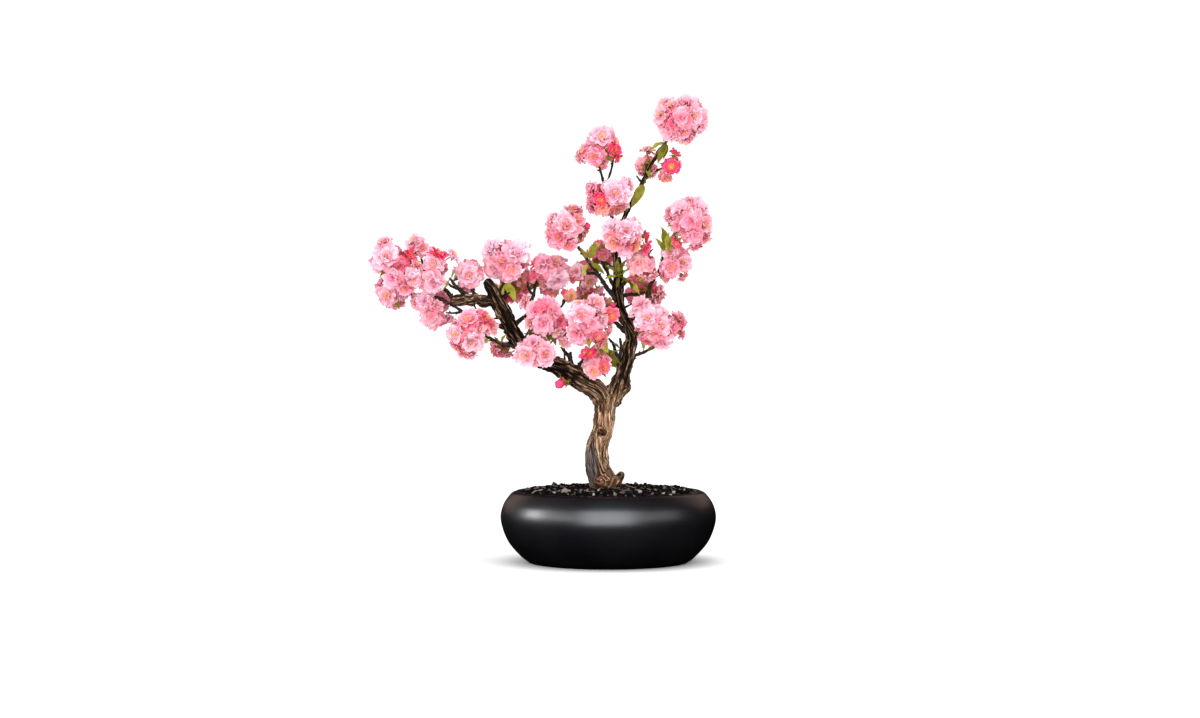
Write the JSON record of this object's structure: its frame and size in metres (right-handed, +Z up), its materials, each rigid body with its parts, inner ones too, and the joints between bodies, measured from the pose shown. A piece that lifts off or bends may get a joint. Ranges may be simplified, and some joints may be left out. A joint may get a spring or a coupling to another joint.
{
  "type": "flowering cherry bonsai",
  "caption": "Miniature Japanese cherry tree in full pink double bloom, trained with a long left branch and an upright leader, growing from gravel in a round dark glazed bowl.",
  "frame": {"origin": "centre of the bowl's flat foot", "axes": "+Z up along the trunk, +X to the viewer's right, away from the long branch, +Y away from the viewer"},
  "size_m": [0.4433, 0.275, 0.6041],
  "materials": {
    "pot_glaze": "satin",
    "soil_gravel": "matte",
    "bark": "matte",
    "petal": "matte",
    "leaf": "matte"
  },
  "bodies": {
    "root": {"pot": "pot_glaze", "soil": "soil_gravel", "tree": "bark", "back_leaves": "leaf", "ball_leaves": "leaf", "below_leaves": "leaf", "bend_leaves": "leaf", "blossom_back_heart": "petal", "blossom_back_left": "petal", "blossom_back_right": "petal", "blossom_back_spur": "petal", "blossom_below_left": "petal", "blossom_crotch": "petal", "blossom_crown_back": "petal", "blossom_crown_low": "petal", "blossom_crown_middle": "petal", "blossom_far_left_crown": "petal", "blossom_far_left_foot": "petal", "blossom_far_left_middle": "petal", "blossom_front_bend": "petal", "blossom_hanging_left": "petal", "blossom_left_crown": "petal", "blossom_left_spur": "petal", "blossom_loose_left": "petal", "blossom_low_bud": "petal", "blossom_mid_back": "petal", "blossom_mid_crown": "petal", "blossom_mid_left": "petal", "blossom_mid_right": "petal", "blossom_over_spur": "petal", "blossom_right_ball": "petal", "blossom_right_bud": "petal", "blossom_right_low": "petal", "blossom_right_side": "petal", "blossom_tip_back": "petal", "blossom_tip_ball": "petal", "blossom_tip_side": "petal", "blossom_top_left": "petal", "blossom_under_bend": "petal", "blossom_upper_left": "petal", "blossom_upper_middle": "petal", "crook_leaves": "leaf", "crown_leaves": "leaf", "inner_leaves": "leaf", "inner_star": "leaf", "low_right_leaves": "leaf", "side_leaves": "leaf", "spur_leaves": "leaf", "tip_leaves": "leaf", "top_leaves": "leaf", "upper_left_leaves": "leaf"}
  },
  "joints": []
}
